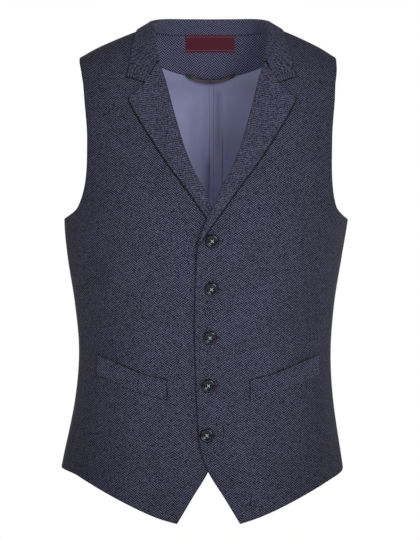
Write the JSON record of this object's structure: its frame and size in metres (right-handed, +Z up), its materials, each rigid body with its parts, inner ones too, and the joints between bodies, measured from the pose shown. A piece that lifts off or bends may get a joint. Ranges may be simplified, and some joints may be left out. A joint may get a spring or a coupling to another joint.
{
  "type": "suit waistcoat",
  "caption": "Notch-lapel suit waistcoat in herringbone wool, buttoned down the centre front, filled out as if worn, with welt pockets and a pointed hem.",
  "frame": {"origin": "between the shoulders, midway between the shoulder seams, at the height where they come out from under the collar", "axes": "+Z up along the wearer's back, -Y the way the wearer faces, +X to the wearer's left"},
  "size_m": [0.3852, 0.2611, 0.6741],
  "materials": {
    "suiting": "matt wool herringbone, dark blue-grey",
    "lining": "smooth satin lining, blue-lilac",
    "label": "woven satin label, dark red, bare",
    "tape": "narrow folded tape, dark taupe",
    "button": "polished resin, blue-black"
  },
  "bodies": {
    "root": {"front_left": "suiting", "back_left": "suiting", "lining_back_left": "lining", "lapel_left": "suiting", "welt_left": "suiting", "front_right": "suiting", "back_right": "suiting", "lining_back_right": "lining", "lapel_right": "suiting", "welt_right": "suiting", "collar": "suiting", "back_neck_facing": "suiting", "label": "label", "hanger_loop": "tape", "button_1": "button", "button_2": "button", "button_3": "button", "button_4": "button", "button_5": "button"}
  },
  "joints": []
}
